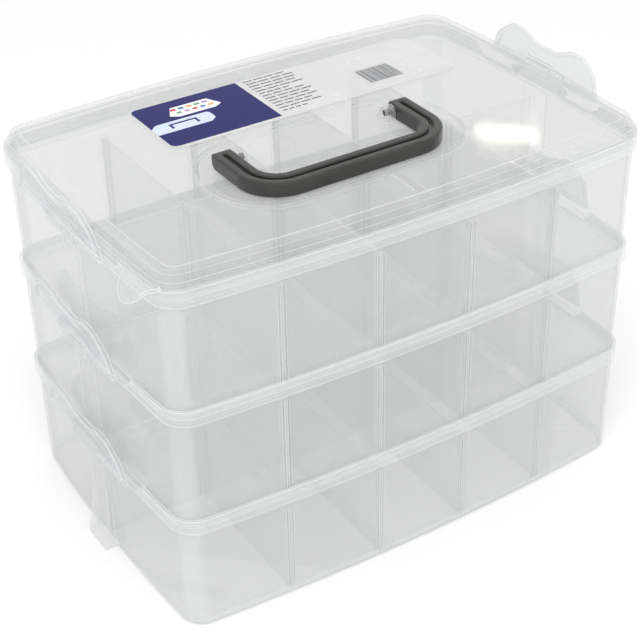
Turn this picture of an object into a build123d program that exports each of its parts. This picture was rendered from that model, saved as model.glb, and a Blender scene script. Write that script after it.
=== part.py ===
from build123d import *
import os
from math import cos, radians, sin

# Stackable sewing box: three nesting trays with removable dividers, a lid with a folding
# handle, and a pair of hinged end latches on each tray. Millimetres, +Z up, front at -Y,
# origin at the bottom centre of the lowest tray.

# Outline, measured over the rim
LENGTH = 320.0
WIDTH = 218.0
CORNER_R = 17.0
BOW_END = 4.0          # how far a short side bulges past its corners
BOW_LONG = 6.9         # how far a long side bulges past its corners

# Trays
TRAY_H = 78.4
PITCH = 72.4           # step from one tray to the next when stacked
RIM_LOW = 68.2         # underside of the rim band
RIM_WALL = 1.6
WALL = 1.5
FLOOR = 1.8
INSET_FOOT = 2.4       # wall surface, in from the rim, at the floor
INSET_TOP = 1.8        # the same just under the rim
PARTITION = 1.5
INNER_H = 63.2         # top of the partition, slot ribs and dividers, above the underside
LEVELS = ("bottom", "middle", "top")

# Dividers and their slots
DIVIDER_X = (-90.0, -30.0, 30.0, 90.0)
DIVIDER_T = 1.4
SLOT_GAP = 2.0
RIB_T = 1.2
RIB_DEPTH = 3.6

# Rim notch, hinge lugs and end pilaster
NOTCH_HALF = 55.0
SHELF = 1.5            # strip of rim left under the notch
HINGE_X = 161.0
HINGE_Z = 72.6         # above the underside of the tray that carries the latch
BARREL_R = 2.4
PIN_R = 1.3
PIN_PLAY = 0.05
LUG_IN = 20.5
LUG_OUT = 24.5
PILASTER_HALF = 11.0
PILASTER_OUT = 1.2
CATCH_Z = 12.0         # top of the catch above the underside of the piece it holds
CATCH_X = 160.4

# Latches
LATCH_T = 1.5
LATCH_IN = 0.8         # inner face of the plate, out from the hinge axis
LATCH_LIP = 1.0
LATCH_LEAN = 6.0       # degrees off vertical when released
HOOK_TIP = -1.4
HOOK_LOW = 12.2

# Lid
LID_REST = 2 * PITCH + TRAY_H   # rim of the top tray, where the lid's flange rests
LID_TOP = 232.3
FLANGE_T = 3.3
PANEL_TOP = 231.5
LID_SHEET = 1.6
RECESS_X = -9.0
RECESS_Y = -26.0
RECESS_HALF_X = 80.0
RECESS_HALF_Y = 41.0
RECESS_FLOOR = 229.0
PLUG_INSET = 2.6
PLUG_H = 5.6
BORDER = 9.5
TAB_R = 15.0
TAB_Y = -82.0

# Handle
HANDLE_X = -11.5
HANDLE_HALF = 64.5
HANDLE_W = 12.5
HANDLE_LOW = 229.6
HANDLE_T = 9.0
PIVOT_Y = -13.0
PIVOT_Z = HANDLE_LOW + HANDLE_T / 2
GRIP_Y = -62.0
HANDLE_PIN_R = 2.0
HANDLE_PIN = 5.0
LUG_W = 5.4
HANDLE_CORNER = 25.0
GROOVE = 2.4
GROOVE_IN = 5.0

# Label
LABEL_T = 0.2
LABEL_CENTRE = (14.0, 48.0)
LABEL_SIZE = (196.0, 58.0)

os.makedirs("parts", exist_ok=True)


def outline(inset, z):
    """Rounded rectangle with gently bowed sides, set in from the rim by `inset`."""
    half_x = LENGTH / 2 - inset
    half_y = WIDTH / 2 - inset
    cx = half_x - BOW_END
    cy = half_y - BOW_LONG
    with BuildSketch(Plane.XY.offset(z)) as sketch:
        with BuildLine():
            ThreePointArc((-cx, -cy), (0, -half_y), (cx, -cy))
            ThreePointArc((cx, -cy), (half_x, 0), (cx, cy))
            ThreePointArc((cx, cy), (0, half_y), (-cx, cy))
            ThreePointArc((-cx, cy), (-half_x, 0), (-cx, -cy))
        make_face()
        fillet(sketch.vertices(), CORNER_R - inset)
    return sketch.sketch


def racetrack(half_x, half_y, radius, z):
    """Outline of the handle recess in the lid."""
    with BuildSketch(Plane.XY.offset(z)) as sketch:
        with Locations((RECESS_X, RECESS_Y)):
            RectangleRounded(2 * half_x, 2 * half_y, radius)
    return sketch.sketch


def notch_face(z0):
    """Side view of the cut-out in the rim at each end, with S-curved shoulders.

    A deeper slot in the middle makes room for the hinge lugs.
    """
    low = z0 + RIM_LOW + SHELF
    top = z0 + TRAY_H + 1
    with BuildSketch(Plane.YZ) as sketch:
        with BuildLine():
            Polyline((-NOTCH_HALF - 4, top), (-NOTCH_HALF - 4, top - 2))
            Spline(
                (-NOTCH_HALF - 4, top - 2), (-NOTCH_HALF, low + 4), (-NOTCH_HALF + 6, low),
                tangents=((0, -1), (1, 0)),
            )
            Line((-NOTCH_HALF + 6, low), (NOTCH_HALF - 6, low))
            Spline(
                (NOTCH_HALF - 6, low), (NOTCH_HALF, low + 4), (NOTCH_HALF + 4, top - 2),
                tangents=((1, 0), (0, 1)),
            )
            Polyline((NOTCH_HALF + 4, top - 2), (NOTCH_HALF + 4, top), (-NOTCH_HALF - 4, top))
        make_face()
        with Locations((0, z0 + RIM_LOW)):
            Rectangle(2 * LUG_OUT + 3, 2 * SHELF + 1)
    return sketch.sketch


def lug_faces(z0, y):
    """Side view of the hinge lugs at both ends: a foot on the wall and a round eye."""
    axis_z = z0 + HINGE_Z
    wall_x = LENGTH / 2 - INSET_TOP
    profile = [
        (wall_x - 1, z0 + RIM_LOW + 0.4),
        (HINGE_X - 1, z0 + RIM_LOW + 0.4),
        (HINGE_X + BARREL_R, axis_z),
        (HINGE_X, axis_z),
        (HINGE_X, axis_z + BARREL_R),
        (wall_x + 0.5, axis_z + BARREL_R),
        (wall_x + 0.5, z0 + PITCH),
        (wall_x - 1, z0 + PITCH),
    ]
    eyes = ((-HINGE_X, axis_z), (HINGE_X, axis_z))
    with BuildSketch(Plane.XZ.offset(-y)) as sketch:
        for side in (-1, 1):
            with BuildLine():
                Polyline([(side * x, z) for x, z in profile], close=True)
            make_face()
        with Locations(*eyes):
            Circle(BARREL_R)
            Circle(PIN_R + PIN_PLAY, mode=Mode.SUBTRACT)
    return sketch.sketch


def inner_half_y(x, inset):
    """Half width of the outline at station x."""
    half_y = WIDTH / 2 - inset
    return half_y - BOW_LONG * (x / (LENGTH / 2 - BOW_END)) ** 2


def make_tray(level):
    """Tray with two rows of slots, notched rim, hinge lugs and end pilasters."""
    z0 = PITCH * LEVELS.index(level)
    with BuildPart() as tray:
        # rim band, cut away at both ends for the latches
        extrude(outline(0, z0 + RIM_LOW), amount=TRAY_H - RIM_LOW)
        fillet(tray.faces().sort_by(Axis.Z)[0].edges(), 1.0)
        extrude(notch_face(z0), amount=LENGTH, both=True, mode=Mode.SUBTRACT)
        # walls and floor
        loft([outline(INSET_FOOT, z0), outline(INSET_TOP, z0 + PITCH)], ruled=True)
        fillet(tray.faces().sort_by(Axis.Z)[0].edges(), 3.0)
        # pilaster up each end wall
        with BuildSketch(Plane.XZ.offset(-PILASTER_HALF)):
            for side in (-1, 1):
                with BuildLine():
                    Polyline(pilaster_points(level, side, z0), close=True)
                make_face()
        extrude(amount=2 * PILASTER_HALF)
        # hinge lugs in each notch
        for y in (LUG_OUT, -LUG_IN):
            extrude(lug_faces(z0, y), amount=LUG_OUT - LUG_IN)
        # inside of the walls, with a ledge for the next tray
        loft(
            [
                outline(INSET_FOOT + WALL, z0 + FLOOR),
                outline(INSET_TOP + WALL, z0 + PITCH),
            ],
            ruled=True,
            mode=Mode.SUBTRACT,
        )
        extrude(outline(RIM_WALL, z0 + PITCH), amount=TRAY_H, mode=Mode.SUBTRACT)
        # partition and, at each divider, slot ribs in pairs
        with BuildSketch(Plane.XY.offset(z0 + 1)):
            Rectangle(LENGTH - 2 * INSET_FOOT - 1, PARTITION)
            for x in DIVIDER_X:
                wall_y = inner_half_y(x, INSET_FOOT + WALL)
                for step in (-1, 1):
                    rib_x = x + step * (SLOT_GAP + RIB_T) / 2
                    with Locations((rib_x, 0)):
                        Rectangle(RIB_T, PARTITION + 2 * RIB_DEPTH)
                    rib_y = wall_y - RIB_DEPTH / 2 + 0.4
                    with Locations((rib_x, rib_y), (rib_x, -rib_y)):
                        Rectangle(RIB_T, RIB_DEPTH + 0.8)
        extrude(amount=INNER_H - 1)
    return tray.part


def pilaster_points(level, side, z0):
    """Side view of the end pilaster: a foot at the bottom of the lowest tray, a catch above."""
    foot_x = LENGTH / 2 - INSET_FOOT
    inner = foot_x - 0.9
    face = foot_x + PILASTER_OUT
    top = z0 + RIM_LOW + 0.2
    if level == "bottom":
        shape = [
            (inner, top), (face, top), (face + 1.6, z0 + 22), (foot_x + 7.4, z0 + 4),
            (foot_x + 7.4, z0), (inner - 3, z0), (inner, z0 + 3),
        ]
    else:
        shape = [
            (inner, top), (face, top), (face, z0 + CATCH_Z), (CATCH_X, z0 + CATCH_Z),
            (CATCH_X, z0 + CATCH_Z - 2.2), (foot_x, z0 + CATCH_Z - 5.5),
            (inner, z0 + CATCH_Z - 5.5),
        ]
    return [(side * x, z) for x, z in shape]


def make_divider(level, row, x):
    """Loose divider plate standing in one pair of slots."""
    z_low = PITCH * LEVELS.index(level) + FLOOR
    z_high = PITCH * LEVELS.index(level) + INNER_H
    near = PARTITION / 2 + 0.4
    far = inner_half_y(x, INSET_FOOT + WALL) - 0.4
    with BuildPart() as divider:
        with BuildSketch(Plane.YZ.offset(x - DIVIDER_T / 2)):
            with BuildLine():
                Polyline(
                    (row * near, z_low),
                    (row * (far - 2), z_low),
                    (row * far, z_low + 2),
                    (row * (far + 0.4), z_high),
                    (row * near, z_high),
                    close=True,
                )
            make_face()
        extrude(amount=DIVIDER_T)
    return divider.part


def make_tab():
    """Pull tab that bends down outside the rim, round in plan."""
    with BuildPart() as tab:
        with BuildSketch(Plane.XZ.offset(-TAB_R - TAB_Y)):
            with BuildLine():
                Polyline(
                    (-154, 223.9), (-160.6, 223.9), (-169.4, 215.2),
                    (-170.8, 216.4), (-160.9, 226.0), (-154, 226.0),
                    close=True,
                )
            make_face()
        extrude(amount=2 * TAB_R)
        with Locations((-153.8, TAB_Y, 220)):
            Cylinder(TAB_R, 20, mode=Mode.INTERSECT)
    return tab.part


def make_lid():
    """Lid that nests in the top rim, with the handle recess and a pull tab."""
    crown_low = LID_REST + FLANGE_T - 0.5
    tab = make_tab()
    with BuildPart() as lid:
        # plug, flange and crown
        extrude(outline(PLUG_INSET, LID_REST - PLUG_H), amount=PLUG_H + 1)
        extrude(outline(0.3, LID_REST), amount=FLANGE_T)
        flange_top = lid.faces().filter_by(Axis.Z).sort_by(Axis.Z)[-1]
        fillet(flange_top.outer_wire().edges(), 1.0)
        add(tab)
        loft([outline(3.0, crown_low), outline(4.0, LID_TOP)], ruled=True)
        fillet(lid.faces().sort_by(Axis.Z)[-1].edges(), 1.6)
        # catch above the flange at each end
        with BuildSketch(Plane.XZ.offset(-PILASTER_HALF)):
            for side in (-1, 1):
                with BuildLine():
                    Polyline(
                        (side * 154, 3 * PITCH + CATCH_Z),
                        (side * CATCH_X, 3 * PITCH + CATCH_Z),
                        (side * CATCH_X, 3 * PITCH + CATCH_Z - 2.2),
                        (side * 159.0, LID_REST + 1),
                        (side * 154, LID_REST + 1),
                        close=True,
                    )
                make_face()
        extrude(amount=2 * PILASTER_HALF)
        # hollow underside and the shallow pan on top
        loft(
            [
                outline(PLUG_INSET + LID_SHEET, LID_REST - PLUG_H),
                outline(5.4, PANEL_TOP - LID_SHEET),
            ],
            ruled=True,
            mode=Mode.SUBTRACT,
        )
        extrude(outline(BORDER, PANEL_TOP), amount=5, mode=Mode.SUBTRACT)
        # handle recess
        boss_low = RECESS_FLOOR - LID_SHEET
        boss = racetrack(RECESS_HALF_X + 1, RECESS_HALF_Y + 1, 37, boss_low)
        extrude(boss, amount=PANEL_TOP - boss_low)
        loft(
            [
                racetrack(RECESS_HALF_X - 3, RECESS_HALF_Y - 3, 33, RECESS_FLOOR),
                racetrack(RECESS_HALF_X, RECESS_HALF_Y, 36, PANEL_TOP + 0.02),
            ],
            ruled=True,
            mode=Mode.SUBTRACT,
        )
        # moulded line across the middle, in front of and behind the recess
        with Locations((-2, -83.5, PANEL_TOP - 0.2), (-2, 89.0, PANEL_TOP - 0.2)):
            Box(1.0, 21, 0.6, align=(Align.CENTER, Align.CENTER, Align.MIN))
        # handle lugs
        lug_in = HANDLE_HALF - HANDLE_W - 0.4 - LUG_W
        for x in (HANDLE_X - lug_in - LUG_W, HANDLE_X + lug_in):
            with BuildSketch(Plane.YZ.offset(x)):
                with Locations((PIVOT_Y, PIVOT_Z)):
                    Circle(4.3)
                with Locations((PIVOT_Y, (RECESS_FLOOR - 0.5 + PIVOT_Z) / 2)):
                    Rectangle(8.6, PIVOT_Z - RECESS_FLOOR + 0.5)
                with BuildLine():
                    Polyline(
                        (PIVOT_Y, PIVOT_Z + 3), (PIVOT_Y + 9, RECESS_FLOOR - 0.5),
                        (PIVOT_Y, RECESS_FLOOR - 0.5),
                        close=True,
                    )
                make_face()
                with Locations((PIVOT_Y, PIVOT_Z)):
                    Circle(HANDLE_PIN_R + PIN_PLAY, mode=Mode.SUBTRACT)
            extrude(amount=LUG_W)
    return lid.part


def handle_track(grow, z):
    """Flat U of the handle, widened on every side by `grow`."""
    wide = 2 * (HANDLE_HALF + grow)
    deep = PIVOT_Y - GRIP_Y
    with BuildSketch(Plane.XY.offset(z)) as sketch:
        with Locations((HANDLE_X, GRIP_Y - grow)):
            Rectangle(wide, deep + grow, align=(Align.CENTER, Align.MIN))
        fillet(sketch.vertices().group_by(Axis.Y)[0], HANDLE_CORNER + grow)
        with BuildSketch(Plane.XY.offset(z), mode=Mode.SUBTRACT) as gap:
            with Locations((HANDLE_X, GRIP_Y + HANDLE_W + grow)):
                Rectangle(wide - 2 * HANDLE_W - 4 * grow, deep, align=(Align.CENTER, Align.MIN))
            fillet(gap.vertices().group_by(Axis.Y)[0], HANDLE_CORNER - HANDLE_W - grow)
    return sketch.sketch


def make_handle():
    """Folding bail handle, lying flat, with pins that turn in the lid's lugs."""
    top = HANDLE_LOW + HANDLE_T
    with BuildPart() as handle:
        extrude(handle_track(0, HANDLE_LOW), amount=HANDLE_T)
        # ends of the legs: square above, rounded below to clear the recess as they turn
        half_t = HANDLE_T / 2
        for side in (-1, 1):
            leg = HANDLE_X + side * (HANDLE_HALF - HANDLE_W / 2) - HANDLE_W / 2
            with BuildSketch(Plane.YZ.offset(leg)):
                with BuildLine():
                    Line((PIVOT_Y, HANDLE_LOW), (PIVOT_Y, top))
                    Line((PIVOT_Y, top), (PIVOT_Y + half_t, top))
                    Line((PIVOT_Y + half_t, top), (PIVOT_Y + half_t, PIVOT_Z))
                    RadiusArc((PIVOT_Y + half_t, PIVOT_Z), (PIVOT_Y, HANDLE_LOW), half_t)
                make_face()
            extrude(amount=HANDLE_W)
        edges = handle.edges().filter_by(lambda e: e.center().Z > top - 0.1)
        low_edges = handle.edges().filter_by(
            lambda e: e.center().Z < HANDLE_LOW + 0.1 and e.center().Y < PIVOT_Y - 0.1
        )
        fillet(edges + low_edges, 1.4)
        # groove along the top, with rounded shoulders
        extrude(handle_track(-GROOVE_IN, top - GROOVE), amount=GROOVE + 1, mode=Mode.SUBTRACT)
        ridge = handle.faces().filter_by(Axis.Z).sort_by(Axis.Z)[-1]
        fillet(ridge.inner_wires()[0].edges(), 1.2)
        pin_in = HANDLE_HALF - HANDLE_W
        centre = pin_in - HANDLE_PIN / 2 + 1
        with Locations(
            (HANDLE_X - centre, PIVOT_Y, PIVOT_Z), (HANDLE_X + centre, PIVOT_Y, PIVOT_Z)
        ):
            Cylinder(HANDLE_PIN_R, HANDLE_PIN + 2, rotation=(0, 90, 0))
    return handle.part


def latch_outline(plane, lip=0):
    """Two-lobed latch plate with a shallow dip, or only a rim `lip` wide round it."""
    half = [(50, 3), (45.5, 17), (34, 25.6), (22, 25.6), (9, 20.5)]
    with BuildSketch(plane) as sketch:
        with BuildLine():
            Polyline(half + [(-u, v) for u, v in reversed(half)], close=True)
        make_face()
        fillet(sketch.vertices().filter_by(lambda corner: corner.Y > 4), 9)
        if lip:
            offset(amount=-lip, mode=Mode.SUBTRACT)
    return sketch.sketch


def make_latch(level, side):
    """End latch, released and leaning just clear of the catch above."""
    axis_z = PITCH * LEVELS.index(level) + HINGE_Z
    lean = radians(LATCH_LEAN)
    plane = Plane(
        origin=(side * HINGE_X, 0, axis_z),
        x_dir=(0, side, 0),
        z_dir=(side * cos(lean), 0, -sin(lean)),
    )
    outer = LATCH_IN + LATCH_T
    with BuildPart() as latch:
        extrude(latch_outline(plane.offset(LATCH_IN)), amount=LATCH_T)
        # raised lip round the outside face
        extrude(latch_outline(plane.offset(outer), 2.6), amount=LATCH_LIP)
        # barrel and pins
        with Locations((side * HINGE_X, 0, axis_z)):
            Cylinder(BARREL_R, 2 * LUG_IN - 1, rotation=(90, 0, 0))
            Cylinder(PIN_R, 2 * LUG_OUT, rotation=(90, 0, 0))
        # web from the barrel to the plate, and the block over it
        with BuildSketch(plane.offset(LATCH_IN)):
            with Locations((0, 2)):
                Rectangle(2 * LUG_IN - 1, 4)
        extrude(amount=LATCH_T)
        with BuildSketch(plane.offset(outer - 0.2)):
            with Locations((0, 3.5)):
                RectangleRounded(36, 10, 2)
        extrude(amount=1.8)
        # hook that snaps over the catch
        with BuildSketch(plane.offset(HOOK_TIP)):
            with Locations((0, HOOK_LOW + 0.8)):
                Rectangle(24, 1.6)
        extrude(amount=LATCH_IN - HOOK_TIP + 0.5)
    return latch.part


def make_label():
    """Thin printed film stuck to the lid."""
    with BuildPart() as label:
        with BuildSketch(Plane.XY.offset(PANEL_TOP)):
            with Locations(LABEL_CENTRE):
                RectangleRounded(*LABEL_SIZE, 9)
        extrude(amount=LABEL_T)
    return label.part


def save(part, name):
    part.label = name
    export_step(part, "parts/" + name + ".step")


save(make_tray("bottom"), "tray_bottom")
tray_middle = make_tray("middle")
tray_top = Pos(0, 0, PITCH) * tray_middle
save(tray_middle, "tray_middle")
save(tray_top, "tray_top")

for level in LEVELS:
    for row, row_name in ((-1, "front"), (1, "back")):
        for number, x in enumerate(DIVIDER_X, 1):
            name = "divider_" + level + "_" + row_name + "_" + str(number)
            save(make_divider(level, row, x), name)
    for side, side_name in ((-1, "left"), (1, "right")):
        save(make_latch(level, side), "latch_" + level + "_" + side_name)

save(make_lid(), "lid")
save(make_handle(), "handle")
save(make_label(), "label")
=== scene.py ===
import math

import bpy
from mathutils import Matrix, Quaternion, Vector


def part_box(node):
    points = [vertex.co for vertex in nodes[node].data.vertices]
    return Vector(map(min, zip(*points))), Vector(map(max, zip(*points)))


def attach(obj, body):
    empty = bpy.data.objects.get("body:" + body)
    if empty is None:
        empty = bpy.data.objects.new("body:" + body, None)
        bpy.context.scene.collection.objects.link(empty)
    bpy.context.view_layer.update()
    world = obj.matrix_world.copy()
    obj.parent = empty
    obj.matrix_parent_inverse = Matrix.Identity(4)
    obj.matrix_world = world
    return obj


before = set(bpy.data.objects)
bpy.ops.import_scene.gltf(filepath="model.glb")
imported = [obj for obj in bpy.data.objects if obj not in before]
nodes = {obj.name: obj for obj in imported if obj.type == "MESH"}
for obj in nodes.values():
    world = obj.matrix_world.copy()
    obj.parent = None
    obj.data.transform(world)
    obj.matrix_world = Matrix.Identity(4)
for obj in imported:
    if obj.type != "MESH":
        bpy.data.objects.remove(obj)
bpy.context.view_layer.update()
scene = bpy.context.scene
MM = 0.001

# Camera and studio, in metres
CAMERA_LENS, CAMERA_SENSOR = 86.4, 36
CAMERA_PLACE = (-0.4216, -0.6727, 0.6164)
CAMERA_TARGET = (-0.0033, 0, 0.0997)
CAMERA_ROLL = math.radians(-1.35)
FLOOR_HALF = 6
WORLD_STRENGTH = 0.85

# Rim bands, where a highlight is painted: one ends at the top of each tray, a level step apart
LEVEL_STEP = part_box("tray_middle")[0].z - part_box("tray_bottom")[0].z
RIM_HEIGHT = 10.2 * MM
RIM_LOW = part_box("tray_bottom")[1].z - RIM_HEIGHT

# Clear plastic
EDGE_REACH = 1.1 * MM       # how far in from an edge the painted highlight reaches
EDGE_GAIN = 4.0
BAND_HIGHLIGHT_GAIN = 4.0        # how strongly the painted highlight on rims and the painted reflection on corners turn white, per unit of their added opacity
HAZE_WANDER = 0.03
GRAZING_HAZE = 0.25
ROUGHNESS_WANDER = 0.05
# colour of the painted highlight on edges, rims and corners
HIGHLIGHT_WHITE = (0.86, 0.885, 0.895)
CLEAR_IOR = 2.2             # above the real 1.5, because alpha thins the reflections too

# Handle
# how far in from an edge the painted highlight on the handle reaches
GRIP_HIGHLIGHT_REACH = 0.9 * MM

# Printing, in mm from the front left corner of the label
INK_THICKNESS = 0.03 * MM
INK_ROUGHNESS = 0.3
PANEL_LEFT, PANEL_RIGHT = 1, 72
PANEL_FRONT, PANEL_BACK = 3, 58
SIGN_LEFT, SIGN_WIDTH, SIGN_LINE = 12, 18, 1.6
SPOOL_STEP = 5.2
PRINT_LEFT, PRINT_TOP, PRINT_STEP = 76, 55.5, 3.9
PRINT_LINE, WORD_GAP, WORDS = 1.1, 1.2, 4
PRINT_LENGTHS = (30, 34, 33, 31, 34, 22, 30, 33, 29, 32, 26, 30, 18)
STRIPES_LEFT, STRIPES_MIDDLE, STRIPES_DEPTH, STRIPE_GAP = 140, 20.5, 19, 0.75
STRIPE_WIDTHS = (1.1, 0.6, 1.5, 0.7, 0.6, 1.2, 0.8, 1.6, 0.6, 0.9, 1.3, 0.6, 1.0, 0.7)


# -------------------------------------------------------------------- camera

camera = bpy.data.objects.new("camera", bpy.data.cameras.new("camera"))
scene.collection.objects.link(camera)
camera.data.lens = CAMERA_LENS
camera.data.sensor_width = CAMERA_SENSOR
camera.location = CAMERA_PLACE
aim = Vector(CAMERA_TARGET) - camera.location
camera.rotation_mode = "QUATERNION"
camera.rotation_quaternion = aim.to_track_quat("-Z", "Y") @ Quaternion((0, 0, 1), CAMERA_ROLL)
scene.camera = camera


# ------------------------------------------------------------ building nodes

class Surface:
    """A material in the making: its shader, and short ways to add nodes in front of it."""

    def __init__(self, name):
        self.material = bpy.data.materials.new(name)
        self.material.use_nodes = True
        self.tree = self.material.node_tree
        self.shader = self.tree.nodes["Principled BSDF"]

    def node(self, kind):
        return self.tree.nodes.new("ShaderNode" + kind)

    def feed(self, socket, value):
        """Link a socket to another one, or set it to a plain value."""
        if isinstance(value, bpy.types.NodeSocket):
            self.tree.links.new(value, socket)
        else:
            socket.default_value = value

    def math(self, operation, *values, clamp=False):
        node = self.node("Math")
        node.operation = operation
        node.use_clamp = clamp
        for socket, value in zip(node.inputs, values):
            self.feed(socket, value)
        return node.outputs["Value"]

    def noise(self, scale, detail, stretch=(1, 1, 1)):
        mapping = self.node("Mapping")
        mapping.inputs["Scale"].default_value = stretch
        self.feed(mapping.inputs["Vector"], self.node("TexCoord").outputs["Object"])
        texture = self.node("TexNoise")
        texture.inputs["Scale"].default_value = scale
        texture.inputs["Detail"].default_value = detail
        self.feed(texture.inputs["Vector"], mapping.outputs["Vector"])
        return texture.outputs["Fac"]

    def wander(self, low, high, scale, detail, stretch=(1, 1, 1)):
        """A number that wanders between low and high over the surface."""
        return self.math("MULTIPLY_ADD", self.noise(scale, detail, stretch), high - low, low)

    def colour(self, factor, low, high):
        """Base colour, from low where the factor is 0 to high where it is 1."""
        mix = self.node("Mix")
        mix.data_type = "RGBA"
        low_in, high_in = (socket for socket in mix.inputs if socket.type == "RGBA")
        mixed = next(socket for socket in mix.outputs if socket.type == "RGBA")
        self.feed(mix.inputs["Factor"], factor)
        self.feed(low_in, (*low, 1))
        self.feed(high_in, (*high, 1))
        self.feed(self.shader.inputs["Base Color"], mixed)

    def roughness(self, middle, spread, scale, detail):
        """Roughness that wanders by the spread on either side of its middle value."""
        value = self.wander(middle - spread, middle + spread, scale, detail)
        self.feed(self.shader.inputs["Roughness"], value)

    def ripple(self, height, depth, strength):
        bump = self.node("Bump")
        bump.inputs["Strength"].default_value = strength
        bump.inputs["Distance"].default_value = depth
        self.feed(bump.inputs["Height"], height)
        self.feed(self.shader.inputs["Normal"], bump.outputs["Normal"])

    def normal(self):
        """The X, Y and Z parts of the surface's own normal."""
        parts = self.node("SeparateXYZ")
        self.feed(parts.inputs["Vector"], self.node("NewGeometry").outputs["Normal"])
        return parts.outputs

    def edge_mask(self, reach):
        """0 on a flat face, rising towards 1 on an edge, where a rounded normal would turn."""
        bevel = self.node("Bevel")
        bevel.samples = 4
        bevel.inputs["Radius"].default_value = reach
        dot = self.node("VectorMath")
        dot.operation = "DOT_PRODUCT"
        self.feed(dot.inputs[0], bevel.outputs["Normal"])
        self.feed(dot.inputs[1], self.node("NewGeometry").outputs["Normal"])
        turned = self.math("SUBTRACT", 1.0, dot.outputs["Value"])
        return self.math("MULTIPLY", turned, EDGE_GAIN, clamp=True)

    def rim_mask(self):
        """1 on upright faces at the height of a rim, which repeats down to the foot, else 0."""
        place = self.node("SeparateXYZ")
        self.feed(place.inputs["Vector"], self.node("TexCoord").outputs["Object"])
        above = self.math("SUBTRACT", place.outputs["Z"], RIM_LOW)
        above = self.math("FLOORED_MODULO", above, LEVEL_STEP)
        band = self.math("LESS_THAN", above, RIM_HEIGHT)
        upright = self.math("LESS_THAN", self.math("ABSOLUTE", self.normal()["Z"]), 0.5)
        return self.math("MULTIPLY", band, upright)

    def corner_mask(self):
        """1 where an upright wall turns a corner, falling to 0 on walls square to X or Y."""
        normal = self.normal()
        product = self.math("MULTIPLY", normal["X"], normal["Y"])
        turned = self.math("MULTIPLY", self.math("ABSOLUTE", product), 2.0)
        fade = self.node("MapRange")
        fade.interpolation_type = "SMOOTHSTEP"
        fade.inputs["From Min"].default_value = 0.35
        fade.inputs["From Max"].default_value = 0.85
        self.feed(fade.inputs["Value"], turned)
        return fade.outputs["Result"]


def wear(obj, material):
    obj.data.materials.clear()
    obj.data.materials.append(material)


# ----------------------------------------------------------------- materials

def clear_plastic(name, haze, edge_highlight_opacity, tint, roughness=0.1, rim_and_corner_highlight=0.0):
    """Moulded clear polypropylene: faintly milky faces, a painted highlight whitening the edges,
    and slight flow marks.
    """
    surface = Surface(name)
    edge = surface.edge_mask(EDGE_REACH)
    # painted highlight: edges turn whiter here, and more opaque just below
    painted_highlight = edge
    alpha = surface.wander(haze - HAZE_WANDER, haze + HAZE_WANDER, 14, 3, stretch=(1, 1, 0.35))
    alpha = surface.math("ADD", alpha, surface.math("MULTIPLY", edge, edge_highlight_opacity))
    if rim_and_corner_highlight:
        # painted highlight on the rims and painted reflection on the rounded corners: more opaque
        # and whiter
        highlight_bands = surface.math("MAXIMUM", surface.rim_mask(), surface.corner_mask())
        highlight_bands = surface.math("MULTIPLY", highlight_bands, rim_and_corner_highlight)
        alpha = surface.math("ADD", alpha, highlight_bands)
        highlight_bands_white = surface.math("MULTIPLY", highlight_bands, BAND_HIGHLIGHT_GAIN, clamp=True)
        painted_highlight = surface.math("MAXIMUM", edge, highlight_bands_white)
    facing = surface.node("LayerWeight")
    facing.inputs["Blend"].default_value = 0.3
    grazing = surface.math("MULTIPLY", facing.outputs["Facing"], GRAZING_HAZE)
    alpha = surface.math("ADD", alpha, grazing, clamp=True)
    surface.feed(surface.shader.inputs["Alpha"], alpha)
    # base colour runs to the painted highlight white where the highlight mask rises
    surface.colour(painted_highlight, tint, HIGHLIGHT_WHITE)
    surface.roughness(roughness, ROUGHNESS_WANDER, 18, 2)
    surface.ripple(surface.noise(9, 0), depth=1 * MM, strength=0.1)
    surface.shader.inputs["IOR"].default_value = CLEAR_IOR
    return surface.material


def grip_plastic(name):
    """Dark grey glossy plastic, a little uneven in tone, with a painted highlight on its edges."""
    surface = Surface(name)
    unevenness = surface.math("MULTIPLY", surface.noise(40, 4), 0.3)
    # random unevenness in tone plus a painted highlight on the edges
    tone_and_highlight = surface.math("ADD", unevenness, surface.edge_mask(GRIP_HIGHLIGHT_REACH))
    surface.colour(tone_and_highlight, (0.018, 0.018, 0.016), (0.13, 0.13, 0.125))
    surface.roughness(0.16, 0.04, 300, 3)
    surface.ripple(surface.noise(60, 1), depth=0.1 * MM, strength=0.05)
    surface.shader.inputs["IOR"].default_value = 1.5
    return surface.material


def printed(name, ink_colour, spread=0.12):
    """Ink on film: one colour, darker and lighter by the spread."""
    surface = Surface(name)
    darker = [part * (1 - spread) for part in ink_colour]
    lighter = [min(1, part * (1 + spread)) for part in ink_colour]
    surface.colour(surface.noise(120, 3), darker, lighter)
    surface.roughness(INK_ROUGHNESS, ROUGHNESS_WANDER, 200, 1)
    surface.shader.inputs["Specular IOR Level"].default_value = 0.15
    return surface.material


def label_film(name):
    """White-backed clear film, a little uneven where it is pressed on."""
    surface = Surface(name)
    surface.feed(surface.shader.inputs["Alpha"], surface.wander(0.5, 0.7, 25, 3))
    surface.colour(surface.noise(60, 2), (0.76, 0.76, 0.755), (0.82, 0.82, 0.815))
    surface.roughness(0.25, ROUGHNESS_WANDER, 150, 1)
    return surface.material


def pale_floor(name):
    surface = Surface(name)
    surface.colour(surface.noise(3, 2), (0.90, 0.90, 0.90), (0.93, 0.93, 0.93))
    surface.shader.inputs["Roughness"].default_value = 0.9
    surface.shader.inputs["Specular IOR Level"].default_value = 0.1
    return surface.material


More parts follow.
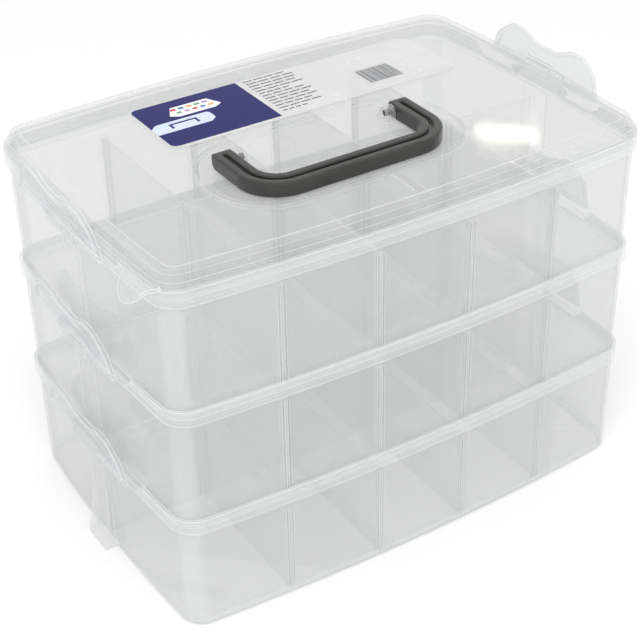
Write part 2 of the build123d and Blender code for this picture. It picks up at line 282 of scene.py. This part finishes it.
tray_plastic = clear_plastic("tray_plastic", 0.17, 0.5, (0.72, 0.732, 0.728), rim_and_corner_highlight=0.1)
divider_plastic = clear_plastic("divider_plastic", 0.12, 0.5, (0.70, 0.712, 0.708))
lid_plastic = clear_plastic("lid_plastic", 0.15, 0.55, (0.64, 0.65, 0.645), roughness=0.07)
latch_plastic = clear_plastic("latch_plastic", 0.16, 0.8, (0.56, 0.58, 0.59))
for name, node in nodes.items():
    if name.startswith("tray"):
        wear(node, tray_plastic)
    elif name.startswith("divider"):
        wear(node, divider_plastic)
    elif name.startswith("latch"):
        wear(node, latch_plastic)
wear(nodes["lid"], lid_plastic)
wear(nodes["handle"], grip_plastic("grip_plastic"))
wear(nodes["label"], label_film("label_film"))


# ----------------------------------------------------- printing on the label

label_low, label_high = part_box("label")


def rounded(corners, radii, steps=6):
    """The polygon with its corners softened by curves, each by its own radius."""
    outline = []
    for i, (corner, radius) in enumerate(zip(corners, radii)):
        corner = Vector(corner)
        if radius <= 0:
            outline.append(tuple(corner))
            continue
        back = Vector(corners[i - 1]) - corner
        ahead = Vector(corners[(i + 1) % len(corners)]) - corner
        reach = radius / math.tan(back.angle(ahead) / 2)
        start = corner + back.normalized() * reach
        end = corner + ahead.normalized() * reach
        for k in range(steps + 1):
            t = k / steps
            point = start * (1 - t) ** 2 + corner * 2 * t * (1 - t) + end * t ** 2
            outline.append(tuple(point))
    return outline


def bar(x, y, length, width):
    """A rectangle starting at x, centred on y."""
    front, back = y - width / 2, y + width / 2
    return [(x, front), (x + length, front), (x + length, back), (x, back)]


def ink(name, outlines, material, layer):
    """Printed shapes as closed prisms one ink layer thick, outlines in mm on the label."""
    low = label_high.z + layer * INK_THICKNESS
    verts, faces = [], []
    for outline in outlines:
        first, count = len(verts), len(outline)
        for z in (low, low + INK_THICKNESS):
            verts += [(label_low.x + x * MM, label_low.y + y * MM, z) for x, y in outline]
        faces.append(list(range(first, first + count))[::-1])
        faces.append(list(range(first + count, first + 2 * count)))
        for i in range(count):
            j = (i + 1) % count
            faces.append([first + i, first + j, first + count + j, first + count + i])
    mesh = bpy.data.meshes.new(name)
    mesh.from_pydata(verts, [], faces)
    mesh.update()
    obj = bpy.data.objects.new(name, mesh)
    scene.collection.objects.link(obj)
    wear(obj, material)
    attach(obj, "lid")


navy = printed("ink_navy", (0.011, 0.013, 0.12), spread=0.1)
grey = printed("ink_grey", (0.10, 0.11, 0.12))
white = printed("ink_white", (0.86, 0.87, 0.89), spread=0.03)
pale_blue = printed("ink_pale_blue", (0.62, 0.69, 0.84), spread=0.06)

panel = [
    (PANEL_LEFT, PANEL_FRONT), (PANEL_RIGHT, PANEL_FRONT),
    (PANEL_RIGHT, PANEL_BACK), (PANEL_LEFT, PANEL_BACK),
]
ink("label_panel", [rounded(panel, [5, 0, 0, 5])], navy, 0)

# pictogram of the folded handle on a pale pill
pill = [(PANEL_LEFT, 20.5), (36, 20.5), (40, 24), (40, 33), (5, 33), (PANEL_LEFT, 29)]
ink("label_pill", [rounded(pill, [0, 3, 3, 3, 5, 3])], pale_blue, 1)
handle_sign = [
    bar(SIGN_LEFT, 29.2, SIGN_WIDTH, SIGN_LINE),
    bar(SIGN_LEFT, 26.2, SIGN_LINE, 4.4),
    bar(SIGN_LEFT + SIGN_WIDTH - SIGN_LINE, 26.2, SIGN_LINE, 4.4),
]
ink("label_handle_sign", handle_sign, navy, 2)

# pictogram of an open box with coloured contents
box_sign = [(18, 39), (23, 49), (47, 49), (52, 39), (47, 36), (23, 36)]
ink("label_box_sign", [rounded(box_sign, [1] * len(box_sign))], white, 1)
spool_colours = (
    (0.55, 0.09, 0.12), (0.10, 0.22, 0.45), (0.75, 0.42, 0.12), (0.18, 0.36, 0.22),
    (0.45, 0.30, 0.50),
)
for i, spool_colour in enumerate(spool_colours):
    shifted = (i + 2) % len(spool_colours)
    spools = [
        bar(21.5 + SPOOL_STEP * i, 45.6, 3.6, 2.6),
        bar(23.5 + SPOOL_STEP * shifted, 40.8, 3.2, 2.4),
    ]
    ink(f"label_spools_{i + 1}", spools, printed(f"ink_spool_{i + 1}", spool_colour), 2)

# rows of grey bars where small print would be
words = []
for row, length in enumerate(PRINT_LENGTHS):
    step = length / WORDS
    for word in range(WORDS):
        start = PRINT_LEFT + step * word
        words.append(bar(start, PRINT_TOP - PRINT_STEP * row, step - WORD_GAP, PRINT_LINE))
ink("label_small_print", words, grey, 0)

# a block of plain stripes
stripes = []
stripe_left = STRIPES_LEFT
for width in STRIPE_WIDTHS:
    stripes.append(bar(stripe_left, STRIPES_MIDDLE, width, STRIPES_DEPTH))
    stripe_left += width + STRIPE_GAP
ink("label_stripes", stripes, grey, 0)


# ---------------------------------------------------------- floor and lights

floor_mesh = bpy.data.meshes.new("floor")
signs = ((-1, -1), (1, -1), (1, 1), (-1, 1))
floor_mesh.from_pydata([(FLOOR_HALF * x, FLOOR_HALF * y, 0) for x, y in signs], [], [(0, 1, 2, 3)])
floor = bpy.data.objects.new("floor", floor_mesh)
scene.collection.objects.link(floor)
wear(floor, pale_floor("pale_floor"))


def softbox(name, place, target, size, power, tint=(1, 1, 1), shape="RECTANGLE"):
    lamp = bpy.data.objects.new(name, bpy.data.lights.new(name, "AREA"))
    lamp.data.shape = shape
    lamp.data.size, lamp.data.size_y = size
    lamp.data.energy = power
    lamp.data.color = tint
    lamp.location = place
    lamp.rotation_mode = "QUATERNION"
    lamp.rotation_quaternion = (Vector(target) - lamp.location).to_track_quat("-Z", "Y")
    scene.collection.objects.link(lamp)
    return lamp


world = bpy.data.worlds.new("studio")
scene.world = world
world.use_nodes = True
background = world.node_tree.nodes["Background"]
background.inputs["Color"].default_value = (1, 1, 1, 1)
background.inputs["Strength"].default_value = WORLD_STRENGTH

# a broad soft light from the front left, kept out of the reflections
key = softbox("key", place=(-0.8, -1.2, 2.4), target=(0, 0, 0.1), size=(1.6, 1.6), power=36)
key.visible_glossy = False
# a small warm light behind the box, which leaves the bright patch on the lid
softbox(
    "window", place=(0.94, 0.965, 0.892), target=(0.08, -0.07, 0.23), size=(0.10, 0.008),
    power=0.07, tint=(1, 0.94, 0.80), shape="ELLIPSE",
)

scene.view_settings.view_transform = "Standard"
scene.cycles.max_bounces = 16
scene.cycles.transparent_max_bounces = 64      # many clear walls lie one behind another
